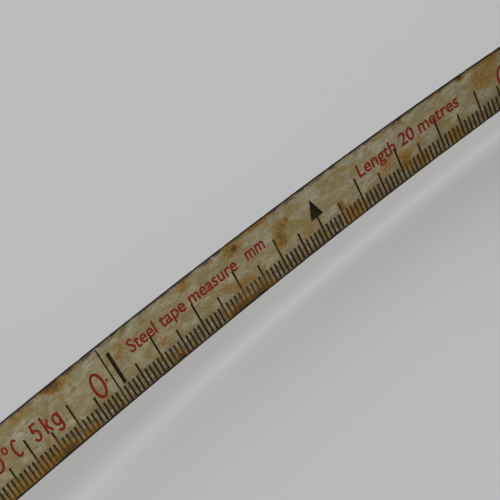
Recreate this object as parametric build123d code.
"""A hand-wound steel measuring tape in a round leather-covered case, its first 0.2 m drawn out.

Millimetres. +Z is up, the origin is the drum's axis on the plane that the case rests on, and the
blade leaves the case towards -X. Positions along the blade are its own graduations, counted from the
zero line towards the case.
"""

from build123d import *

import os
from math import cos, degrees, pi, radians, sin, sqrt

RUNNING = 0.05  # radial clearance of every turning fit

# ---- Blade ---------------------------------------------------------------------------------------
BLADE_WIDTH = 12.7
BLADE_THICK = 0.25  # steel and enamel together
TAPE_LENGTH = 20_000.0
TIP_GRAD = -60.0  # the steel ends this far before the zero line
FLEX_START_GRAD = -40.0  # the blade bends and twists evenly between these two graduations
FLEX_END_GRAD = 110.0
TWIST_PER_MM = radians(0.193)  # about the blade's length
BEND_PER_MM = radians(-0.084)  # about the blade's width
MOUTH_GRAD = 130.0  # at the outer face of the mouthpiece
TANGENT_GRAD = 167.0  # where the blade leaves the wound turns

# ---- Drum ----------------------------------------------------------------------------------------
BARREL_R = 18.5
BARREL_HALF = 7.0  # half the distance between the flanges
FLANGE_R = 46.5
FLANGE_THICK = 0.8
FLANGE_RIVET_R = 1.0
FLANGE_RIVET_DEPTH = 4.0
FLANGE_RIVETS = [(12.0 * cos(radians(a)), 12.0 * sin(radians(a))) for a in (30, 150, 270)]
ANCHOR_R = 0.8
ANCHOR_DEPTH = 5.0
ANCHOR_ANGLE = 200.0
WOUND_R = sqrt(BARREL_R**2 + (TAPE_LENGTH - TANGENT_GRAD) * BLADE_THICK / pi)
BLADE_Y = WOUND_R + BLADE_THICK / 2 + RUNNING  # mid-plane of the straight part of the blade

# ---- Case, as heights from the resting plane -----------------------------------------------------
# Each height here is a lower face's; its upper counterpart is at CASE_HEIGHT minus that height.
CASE_HEIGHT = 22.0
MID_Z = CASE_HEIGHT / 2
COVER_THICK = 1.0
SHELL_THICK = 0.8
COVER_Z = 0.6  # the welts and the back cap stand this far out of the flat covers
SHELL_Z = COVER_Z + COVER_THICK
INSIDE_Z = SHELL_Z + SHELL_THICK
SHELL_R = 48.0  # inside of the steel shell
SHELL_OUT_R = SHELL_R + SHELL_THICK
COVER_R = SHELL_OUT_R + COVER_THICK
WELT_R = COVER_R + 1.0
WELT_REACH = 3.0  # over the flat cover, and up the rim
LID_LIP = 0.6
AXLE_R = 2.95
AXLE_TOP = 17.4
AXLE_FOOT_R = 6.0
AXLE_FOOT_TOP = INSIDE_Z + 0.6
SPIGOT_R = 2.0
BACK_CAP_R = 9.0

# ---- Winding boss and its folding handle ---------------------------------------------------------
NECK_R = 17.0
BUSH_R = 18.4
BUSH_FLANGE_R = 20.9
BUSH_FLANGE = 0.5
BOSS_R = 20.5
BOSS_Z = CASE_HEIGHT - COVER_Z + 0.3
BOSS_TOP = BOSS_Z + 4.2
SLOT_Z = BOSS_Z + 1.0
ARM_WIDTH = 8.0
ARM_THICK = 3.0
ARM_GAP = 0.1  # under the arm
ARM_SIDE_GAP = 0.15
ARM_Z = SLOT_Z + ARM_GAP
PIVOT_X = 15.0
PIVOT_Z = ARM_Z + ARM_THICK / 2
PIVOT_R = 0.8
PIVOT_HALF = 13.0  # half the pin's length
ARM_LENGTH = 25.5  # hinge pin to knob
OPEN_KNOB_X = PIVOT_X + ARM_LENGTH
FOLDED_KNOB_X = PIVOT_X - ARM_LENGTH
KNOB_R = 3.0
KNOB_HEIGHT = 7.8
KNOB_GAP = 0.2
KNOB_PIN_R = 1.25
KNOB_HEAD_R = 2.0
KNOB_HEAD = 0.7
RECESS_R = 3.5
RECESS_SWEEP = 1.6  # the knob swings in from this much further out
RECESS_FLOOR_Z = 13.2
SPRING_THICK = 0.3
SPRING_HALF_WIDTH = 2.8
SPRING_X = (PIVOT_X - 6.8, PIVOT_X + 2.3)
SCREW_R = 1.25
SCREW_HEAD_R = 2.3
SCREW_HEAD = 1.2
SCREW_SUNK = 0.2
SCREW_SEAT_Z = BOSS_TOP - SCREW_HEAD - SCREW_SUNK
SCREW_END_Z = 10.0
SCREW_SPOTS = [(x, y) for x in (-6.75, 6.75) for y in (-11.7, 11.7)]

# ---- Mouthpiece ----------------------------------------------------------------------------------
MOUTH_X = MOUTH_GRAD - TANGENT_GRAD
MOUTH_HALF_Y = 5.6
MOUTH_Z = (MID_Z - 7.9, MID_Z + 7.9)
THROAT_HALF_Y = 3.0
THROAT_Z = (MID_Z - 7.4, MID_Z + 7.4)
SLOT_HALF_Y = 1.0
SLOT_HEIGHTS = (MID_Z - 6.8, MID_Z + 6.8)
SADDLE_R = COVER_R + 0.8
SADDLE_ANGLES = (86.0, 142.0)
MOUTH_RIVET_R = 0.9
MOUTH_RIVETS = [(angle, MID_Z + rise) for angle in (90.5, 137.0) for rise in (-4.5, 4.5)]
ROLLER_R = 1.6
ROLLER_PIN_R = 0.6
ROLLER_X = MOUTH_X + 4.5
ROLLER_GAP = BLADE_THICK / 2 + 0.15 + ROLLER_R  # roller axis to blade mid-plane
ROLLER_ROOM = 0.35  # round each roller

# ---- End of the blade ----------------------------------------------------------------------------
CLIP_LENGTH = 10.0
CLIP_WIDTH = BLADE_WIDTH - 0.4
CLIP_SHEET = 0.5
CLIP_OUT = CLIP_SHEET + BLADE_THICK / 2
EYE_BEYOND = 2.0  # ring axis beyond the end of the steel
EYE_R = 1.1
RING_WIRE_R = 1.0
RING_HALF_WIDTH = 8.2
RING_REACH = 17.0
RING_CORNER = 1.6
END_RIVET_R = 0.9
END_RIVET_HEAD_R = 1.5
END_RIVET_HEAD = 0.35
END_RIVETS = [(5.0, -3.5), (5.0, 3.5)]


# ---- Shapes --------------------------------------------------------------------------------------
def disc(radius, z0, z1, x=0.0, y=0.0):
    """A round plug from height z0 to z1."""
    return Pos(x, y, (z0 + z1) / 2) * Cylinder(radius, z1 - z0)


def ring(inner, outer, z0, z1):
    beyond = 1.0
    return disc(outer, z0, z1) - disc(inner, z0 - beyond, z1 + beyond)


def block(x, y, z):
    """A box given by its (low, high) pair along each axis."""
    middle = [(low + high) / 2 for low, high in (x, y, z)]
    return Pos(*middle) * Box(x[1] - x[0], y[1] - y[0], z[1] - z[0])


def along_y(radius, x, z, half_length):
    return Pos(x, 0, z) * Rot(90, 0, 0) * Cylinder(radius, 2 * half_length)


def radial(radius, angle, z, r0, r1):
    """A round plug that points away from the drum's axis, from distance r0 to r1."""
    return Rot(0, 0, angle) * Pos((r0 + r1) / 2, 0, z) * Rot(0, 90, 0) * Cylinder(radius, r1 - r0)


def all_the_way_up(radius, spots):
    """Round holes through the whole height of the case."""
    return [disc(radius, 0, CASE_HEIGHT + BOSS_TOP, x, y) for x, y in spots]


def highest_edge(part):
    return part.edges().sort_by(Axis.Z)[-1]


def beside_blade(distance):
    """The y positions this far inside and outside the straight part of the blade."""
    return BLADE_Y - distance, BLADE_Y + distance


# ---- The drawn-out blade's path ------------------------------------------------------------------
def blade_plane(grad):
    """The blade at a graduation: x towards the case, y across its width, z out of the printed face.

    Bend and twist are even, so the flexed stretch is a shallow helix about one fixed axis.
    """
    turn_per_mm = Vector(TWIST_PER_MM, 0, BEND_PER_MM)
    start = Vector(FLEX_END_GRAD - TANGENT_GRAD, BLADE_Y, MID_Z)
    towards_case = Vector(1, 0, 0)
    flexed = min(max(grad, FLEX_START_GRAD), FLEX_END_GRAD)
    run = flexed - FLEX_END_GRAD
    turn = turn_per_mm.length * run
    axis = turn_per_mm.normalized()
    steady = axis * axis.dot(towards_case)
    swung = towards_case - steady
    curled = swung * sin(turn) + axis.cross(towards_case) * (1 - cos(turn))
    path = steady * run + curled * (1 / turn_per_mm.length)
    spin = Axis((0, 0, 0), axis)
    direction = towards_case.rotate(spin, degrees(turn))
    printed_normal = Vector(0, -1, 0).rotate(spin, degrees(turn))
    return Plane(start + path + direction * (grad - flexed), x_dir=direction, z_dir=printed_normal)


def blade_section(grad):
    """The blade's cross-section, as a face square to its length."""
    plane = blade_plane(grad)
    across = Plane(plane.origin, x_dir=plane.y_dir, z_dir=plane.x_dir)
    return across * Rectangle(BLADE_WIDTH, BLADE_THICK)


def at_tip(part):
    """Puts a part into place that is drawn about the end of the steel, in blade_plane's directions."""
    return blade_plane(TIP_GRAD).location * part


def end_rivet_holes():
    return [Pos(x, y, 0) * Cylinder(END_RIVET_R, 2 * CLIP_OUT) for x, y in END_RIVETS]


def blade_free():
    """Straight out of the case, then evenly bent and twisted, then straight again to the tip."""
    stations = 9
    step = (FLEX_END_GRAD - FLEX_START_GRAD) / (stations - 1)
    flexed = loft([blade_section(FLEX_START_GRAD + i * step) for i in range(stations)])
    inner = extrude(blade_section(FLEX_END_GRAD), TANGENT_GRAD - FLEX_END_GRAD)
    tip = extrude(blade_section(TIP_GRAD), FLEX_START_GRAD - TIP_GRAD)
    return flexed + inner + tip - [at_tip(hole) for hole in end_rivet_holes()]


# ---- Case ----------------------------------------------------------------------------------------
def throat():
    """The part of the mouthpiece that fills the window in the rim."""
    return block((MOUTH_X, 0), beside_blade(THROAT_HALF_Y), THROAT_Z)


def mouth_rivet_holes():
    beyond = 2.0
    ends = (SHELL_R - beyond, SADDLE_R + beyond)
    return [radial(MOUTH_RIVET_R, angle, z, *ends) for angle, z in MOUTH_RIVETS]


def case_cup():
    """Back disc and rim of the pressed steel shell."""
    back = disc(SHELL_OUT_R, SHELL_Z, INSIDE_Z) - all_the_way_up(SPIGOT_R, [(0, 0)])
    rim = ring(SHELL_R, SHELL_OUT_R, INSIDE_Z, CASE_HEIGHT - INSIDE_Z)
    return back + rim - throat() - mouth_rivet_holes()


def case_lid():
    """Front disc, with a lip that locates it inside the rim."""
    seat = CASE_HEIGHT - INSIDE_Z
    lip = ring(SHELL_R - 0.7, SHELL_R - RUNNING, seat - LID_LIP, seat)
    clear_of_throat = block((MOUTH_X, 0), beside_blade(THROAT_HALF_Y + 1), (0, seat))
    return ring(BUSH_R, SHELL_OUT_R, seat, CASE_HEIGHT - SHELL_Z) + (lip - clear_of_throat)


def cover_back():
    return ring(SPIGOT_R, COVER_R, COVER_Z, SHELL_Z)


def cover_front():
    return ring(BUSH_R + 0.2, COVER_R, CASE_HEIGHT - SHELL_Z, CASE_HEIGHT - COVER_Z)


def cover_rim():
    band = ring(SHELL_OUT_R, COVER_R, SHELL_Z, CASE_HEIGHT - SHELL_Z)
    return band - throat() - mouth_rivet_holes()


def welt_back():
    """The stitched leather corner: it wraps the edge, and stands proud of both covers."""
    round_over = 1.0
    soft = 0.2
    inner = WELT_R - WELT_REACH
    corner_x = WELT_R - round_over
    flat = Polyline((inner, 0, COVER_Z), (inner, 0, soft), (inner + soft, 0, 0), (corner_x, 0, 0))
    corner = TangentArc((corner_x, 0, 0), (WELT_R, 0, round_over), tangent=(1, 0, 0))
    side = Polyline(
        (WELT_R, 0, round_over),
        (WELT_R, 0, WELT_REACH - soft),
        (WELT_R - soft, 0, WELT_REACH),
        (COVER_R, 0, WELT_REACH),
        (COVER_R, 0, COVER_Z),
        (inner, 0, COVER_Z),
    )
    return revolve(make_face(flat + corner + side), Axis.Z)


def welt_front():
    return mirror(welt_back(), about=Plane.XY.offset(MID_Z))


def front_bush():
    """The boss's neck turns in it; its flange is soldered under the lid."""
    seat = CASE_HEIGHT - INSIDE_Z
    sleeve = ring(NECK_R + RUNNING, BUSH_R, seat - BUSH_FLANGE, BOSS_Z - 0.2)
    return sleeve + ring(BUSH_R - 1, BUSH_FLANGE_R, seat - BUSH_FLANGE, seat)


def axle_post():
    """Fixed to the back of the shell by its spigot."""
    post = chamfer(highest_edge(disc(AXLE_R, AXLE_FOOT_TOP, AXLE_TOP)), 0.4)
    return post + disc(AXLE_FOOT_R, INSIDE_Z, AXLE_FOOT_TOP) + disc(SPIGOT_R, COVER_Z, INSIDE_Z)


def friction_washer():
    """It keeps the drum from running on by itself."""
    return ring(AXLE_R + 0.1, AXLE_FOOT_R - 0.2, AXLE_FOOT_TOP, AXLE_FOOT_TOP + 0.15)


def back_cap():
    """Riveted over the spigot; level with the welt, so the case rests on both."""
    return chamfer(disc(BACK_CAP_R, 0, COVER_Z).edges().sort_by(Axis.Z)[0], 0.25)


def saddle():
    """A plate that hugs the rim on both sides of the window."""
    reach = 2 * SADDLE_R
    corners = [(reach * cos(radians(a)), reach * sin(radians(a))) for a in SADDLE_ANGLES]
    wedge = extrude(make_face(Polyline((0, 0), *corners, close=True)), CASE_HEIGHT)
    return ring(COVER_R, SADDLE_R, *MOUTH_Z) & wedge


def mouthpiece():
    """A nose that carries the blade's slot tangentially out of the round case, on its saddle."""
    nose = block((MOUTH_X, 0), beside_blade(MOUTH_HALF_Y), MOUTH_Z)
    nose = fillet(nose.edges().filter_by(Axis.X), 2.0)
    nose = fillet(nose.faces().sort_by(Axis.X)[0].edges(), 1.2)
    outside = nose - disc(COVER_R, 0, CASE_HEIGHT) + saddle()
    body = outside + (throat() - disc(SHELL_R, 0, CASE_HEIGHT))
    slot = block((MOUTH_X - 1, 0), beside_blade(SLOT_HALF_Y), SLOT_HEIGHTS)
    room_x = (ROLLER_X - ROLLER_R - ROLLER_ROOM, ROLLER_X + ROLLER_R + ROLLER_ROOM)
    room = block(room_x, beside_blade(ROLLER_GAP + ROLLER_R + ROLLER_ROOM), SLOT_HEIGHTS)
    pin_holes = all_the_way_up(ROLLER_PIN_R, [(ROLLER_X, y) for y in beside_blade(ROLLER_GAP)])
    return body - slot - room - pin_holes - mouth_rivet_holes()


def mouth_rivets():
    """Shank, round head outside and closed head inside, as one solid each."""
    head_r, head, tail_r, tail = 1.5, 0.7, 1.3, 0.5
    made = []
    for angle, z in MOUTH_RIVETS:
        outer = radial(head_r, angle, z, SADDLE_R, SADDLE_R + head)
        outer = fillet(outer.edges().filter_by(GeomType.CIRCLE), 0.3) - disc(SADDLE_R, 0, CASE_HEIGHT)
        inner = radial(tail_r, angle, z, SHELL_R - tail, SHELL_R) & disc(SHELL_R, 0, CASE_HEIGHT)
        made.append(radial(MOUTH_RIVET_R, angle, z, SHELL_R - tail, SADDLE_R) + outer + inner)
    return made


def roller(y):
    end_gap = 0.1
    bottom, top = SLOT_HEIGHTS[0] + end_gap, SLOT_HEIGHTS[1] - end_gap
    barrel = chamfer(disc(ROLLER_R, bottom, top, ROLLER_X, y).edges().filter_by(GeomType.CIRCLE), 0.3)
    return barrel - all_the_way_up(ROLLER_PIN_R + RUNNING, [(ROLLER_X, y)])


def roller_inner():
    return roller(BLADE_Y - ROLLER_GAP)


def roller_outer():
    return roller(BLADE_Y + ROLLER_GAP)


def roller_pins():
    return [disc(ROLLER_PIN_R, *MOUTH_Z, ROLLER_X, y) for y in beside_blade(ROLLER_GAP)]


# ---- Drum ----------------------------------------------------------------------------------------
def knob_recess(z0, z1):
    """Room for the folded knob, longer outwards because the knob swings in."""
    far_x = FOLDED_KNOB_X - RECESS_SWEEP
    sweep = block((far_x, FOLDED_KNOB_X), (-RECESS_R, RECESS_R), (z0, z1))
    return disc(RECESS_R, z0, z1, FOLDED_KNOB_X) + disc(RECESS_R, z0, z1, far_x) + sweep


def drum_barrel():
    bottom, top = MID_Z - BARREL_HALF, MID_Z + BARREL_HALF
    rivet_end = bottom + FLANGE_RIVET_DEPTH
    rivet_holes = [disc(FLANGE_RIVET_R, bottom, rivet_end, x, y) for x, y in FLANGE_RIVETS]
    screw_holes = [disc(SCREW_R, SCREW_END_Z - 1, top, x, y) for x, y in SCREW_SPOTS]
    anchor_hole = radial(ANCHOR_R, ANCHOR_ANGLE, MID_Z, BARREL_R - ANCHOR_DEPTH, BARREL_R + 1)
    body = ring(AXLE_R + RUNNING, BARREL_R, bottom, top) - knob_recess(RECESS_FLOOR_Z, CASE_HEIGHT)
    return body - screw_holes - rivet_holes - anchor_hole


def drum_flange(z0):
    return ring(AXLE_R + 0.5, FLANGE_R, z0, z0 + FLANGE_THICK)


def drum_flange_back():
    plate = drum_flange(MID_Z - BARREL_HALF - FLANGE_THICK)
    return plate - all_the_way_up(FLANGE_RIVET_R, FLANGE_RIVETS)


def drum_flange_front():
    plate = drum_flange(MID_Z + BARREL_HALF)
    return plate - knob_recess(0, CASE_HEIGHT) - all_the_way_up(SCREW_R, SCREW_SPOTS)


def flange_rivets():
    """Flush with the back flange."""
    bottom = MID_Z - BARREL_HALF
    ends = (bottom - FLANGE_THICK, bottom + FLANGE_RIVET_DEPTH)
    return [disc(FLANGE_RIVET_R, *ends, x, y) for x, y in FLANGE_RIVETS]


def blade_anchor_screw():
    return radial(ANCHOR_R, ANCHOR_ANGLE, MID_Z, BARREL_R - ANCHOR_DEPTH, BARREL_R - RUNNING)


def blade_wound():
    """The pack of wound turns."""
    half = BLADE_WIDTH / 2
    return ring(BARREL_R + 0.02, WOUND_R, MID_Z - half, MID_Z + half)


def winding_boss():
    """A neck through the bush, and a head with a slot that the handle folds into."""
    neck = disc(NECK_R, MID_Z + BARREL_HALF + FLANGE_THICK, BOSS_Z)
    head = fillet(highest_edge(disc(BOSS_R, BOSS_Z, BOSS_TOP)), 0.6)
    slot_half = ARM_WIDTH / 2 + ARM_SIDE_GAP
    arm_slot = block((-BOSS_R - 1, BOSS_R + 1), (-slot_half, slot_half), (SLOT_Z, BOSS_TOP + 1))
    spring_pocket = block(
        (SPRING_X[0] - 0.2, SPRING_X[1] + 0.2),
        (-SPRING_HALF_WIDTH - 0.2, SPRING_HALF_WIDTH + 0.2),
        (SLOT_Z - ARM_GAP - SPRING_THICK, SLOT_Z),
    )
    pin_hole = along_y(PIVOT_R, PIVOT_X, PIVOT_Z, BOSS_R)
    seats = [disc(SCREW_HEAD_R + 0.1, SCREW_SEAT_Z, BOSS_TOP + 1, x, y) for x, y in SCREW_SPOTS]
    body = neck + head - arm_slot - spring_pocket - pin_hole - knob_recess(0, SLOT_Z)
    return body - all_the_way_up(SCREW_R, SCREW_SPOTS) - seats


def boss_screws():
    """Cheese-head screws with a driver slot; they hold the boss and the front flange to the barrel."""
    top = SCREW_SEAT_Z + SCREW_HEAD
    slot_half = 0.3
    slot_depth = 0.6
    made = []
    for x, y in SCREW_SPOTS:
        across = (x - SCREW_HEAD_R - 1, x + SCREW_HEAD_R + 1)
        slot = block(across, (y - slot_half, y + slot_half), (top - slot_depth, top))
        head = disc(SCREW_HEAD_R, SCREW_SEAT_Z, top, x, y) - slot
        made.append(head + disc(SCREW_R, SCREW_END_Z, SCREW_SEAT_Z, x, y))
    return made


def detent_spring():
    """A leaf under the handle's knuckle, which holds the handle open or shut."""
    top = SLOT_Z - ARM_GAP
    return block(SPRING_X, (-SPRING_HALF_WIDTH, SPRING_HALF_WIDTH), (top - SPRING_THICK, top))


def handle_pin():
    return along_y(PIVOT_R, PIVOT_X, PIVOT_Z, PIVOT_HALF)


# ---- Handle, drawn open --------------------------------------------------------------------------
def handle_arm():
    """A flat bar with a round knuckle at the hinge and a round end under the knob."""
    half = ARM_WIDTH / 2
    heights = (ARM_Z, ARM_Z + ARM_THICK)
    bar = block((PIVOT_X, OPEN_KNOB_X), (-half, half), heights) + disc(half, *heights, OPEN_KNOB_X)
    top_edges = bar.faces().sort_by(Axis.Z)[-1].edges()
    bar = fillet([edge for edge in top_edges if edge.center().X > PIVOT_X + half], 0.5)
    arm = bar + along_y(ARM_THICK / 2, PIVOT_X, PIVOT_Z, half)
    hinge_hole = along_y(PIVOT_R + RUNNING, PIVOT_X, PIVOT_Z, BOSS_R)
    return arm - hinge_hole - disc(KNOB_PIN_R, *heights, OPEN_KNOB_X)


def knob_pin():
    """Riveted in the arm; its head keeps the knob on."""
    head_z = ARM_Z + ARM_THICK + KNOB_GAP + KNOB_HEIGHT + 0.1
    head = fillet(highest_edge(disc(KNOB_HEAD_R, head_z, head_z + KNOB_HEAD, OPEN_KNOB_X)), 0.3)
    return disc(KNOB_PIN_R, ARM_Z, head_z, OPEN_KNOB_X) + head


def handle_knob():
    """A waisted grip that turns on its pin."""
    foot_r = KNOB_R - 0.1
    soft = 0.4
    crown_z = KNOB_HEIGHT - 1.2
    crown_r = KNOB_R - 1.0
    bore = KNOB_PIN_R + RUNNING
    top = KNOB_HEIGHT
    side = Spline((foot_r, 0, soft), (KNOB_R - 0.6, 0, 0.4 * top), (KNOB_R, 0, crown_z))
    crown = ThreePointArc((KNOB_R, 0, crown_z), (KNOB_R - 0.3, 0, top - 0.4), (crown_r, 0, top))
    bored = Polyline((crown_r, 0, top), (bore, 0, top), (bore, 0, 0), (foot_r - soft, 0, 0))
    foot = Line((foot_r - soft, 0, 0), (foot_r, 0, soft))
    knob = revolve(make_face(side + crown + bored + foot), Axis.Z)
    return Pos(OPEN_KNOB_X, 0, ARM_Z + ARM_THICK + KNOB_GAP) * knob


# ---- End of the blade ----------------------------------------------------------------------------
def end_clip():
    """One strip of brass folded round the ring's bar and riveted to both sides of the blade."""
    half = CLIP_WIDTH / 2
    fold = Pos(-EYE_BEYOND, 0, 0) * Rot(90, 0, 0)
    eye = fold * Cylinder(EYE_R + CLIP_SHEET, CLIP_WIDTH)
    leaves = block((-EYE_BEYOND, CLIP_LENGTH), (-half, half), (-CLIP_OUT, CLIP_OUT))
    leaves = fillet(leaves.edges().filter_by(Axis.Z).sort_by(Axis.X)[-2:], 1.5)
    gap = block((-EYE_BEYOND, CLIP_LENGTH), (-half, half), (-BLADE_THICK / 2, BLADE_THICK / 2))
    return at_tip(eye + leaves - gap - fold * Cylinder(EYE_R, CLIP_WIDTH) - end_rivet_holes())


def end_rivets():
    made = []
    for x, y in END_RIVETS:
        head = fillet(highest_edge(disc(END_RIVET_HEAD_R, CLIP_OUT, CLIP_OUT + END_RIVET_HEAD)), 0.25)
        rivet = disc(END_RIVET_R, -CLIP_OUT, CLIP_OUT) + head + mirror(head, about=Plane.XY)
        made.append(at_tip(Pos(x, y, 0) * rivet))
    return made


def end_ring():
    """A D of round wire, its straight bar lying in the clip's eye."""
    bar_x = -EYE_BEYOND
    far_x = bar_x - RING_REACH
    shoulder_x = far_x + RING_HALF_WIDTH
    inner = RING_HALF_WIDTH - RING_CORNER
    tilt = RING_CORNER * (1 - sqrt(0.5))
    corner_x = bar_x - RING_CORNER

    def side(sign):
        """Corner and straight of one half."""
        corner = ThreePointArc(
            (bar_x, sign * inner),
            (bar_x - tilt, sign * (RING_HALF_WIDTH - tilt)),
            (corner_x, sign * RING_HALF_WIDTH),
        )
        return corner + Line((corner_x, sign * RING_HALF_WIDTH), (shoulder_x, sign * RING_HALF_WIDTH))

    bow = ThreePointArc((shoulder_x, RING_HALF_WIDTH), (far_x, 0), (shoulder_x, -RING_HALF_WIDTH))
    path = Line((bar_x, -inner), (bar_x, inner)) + side(1) + bow + side(-1)
    section = Plane((bar_x, 0, 0), x_dir=(1, 0, 0), z_dir=(0, 1, 0)) * Circle(RING_WIRE_R)
    return at_tip(sweep(section, path))


PARTS = (
    case_cup,
    case_lid,
    cover_back,
    cover_front,
    cover_rim,
    welt_back,
    welt_front,
    front_bush,
    axle_post,
    friction_washer,
    back_cap,
    mouthpiece,
    mouth_rivets,
    roller_inner,
    roller_outer,
    roller_pins,
    drum_barrel,
    drum_flange_back,
    drum_flange_front,
    flange_rivets,
    blade_anchor_screw,
    blade_wound,
    winding_boss,
    boss_screws,
    detent_spring,
    handle_pin,
    handle_arm,
    knob_pin,
    handle_knob,
    blade_free,
    end_clip,
    end_rivets,
    end_ring,
)


def main():
    """Writes each part under its own name; a list of like pieces becomes one group of solids."""
    os.makedirs("parts", exist_ok=True)
    for make in PARTS:
        made = make()
        pieces = made if isinstance(made, list) else [made]
        solids = [solid for piece in pieces for solid in piece.solids()]
        shape = solids[0] if len(solids) == 1 else Compound(children=solids)
        export_step(shape, f"parts/{make.__name__}.step")


if __name__ == "__main__":
    main()
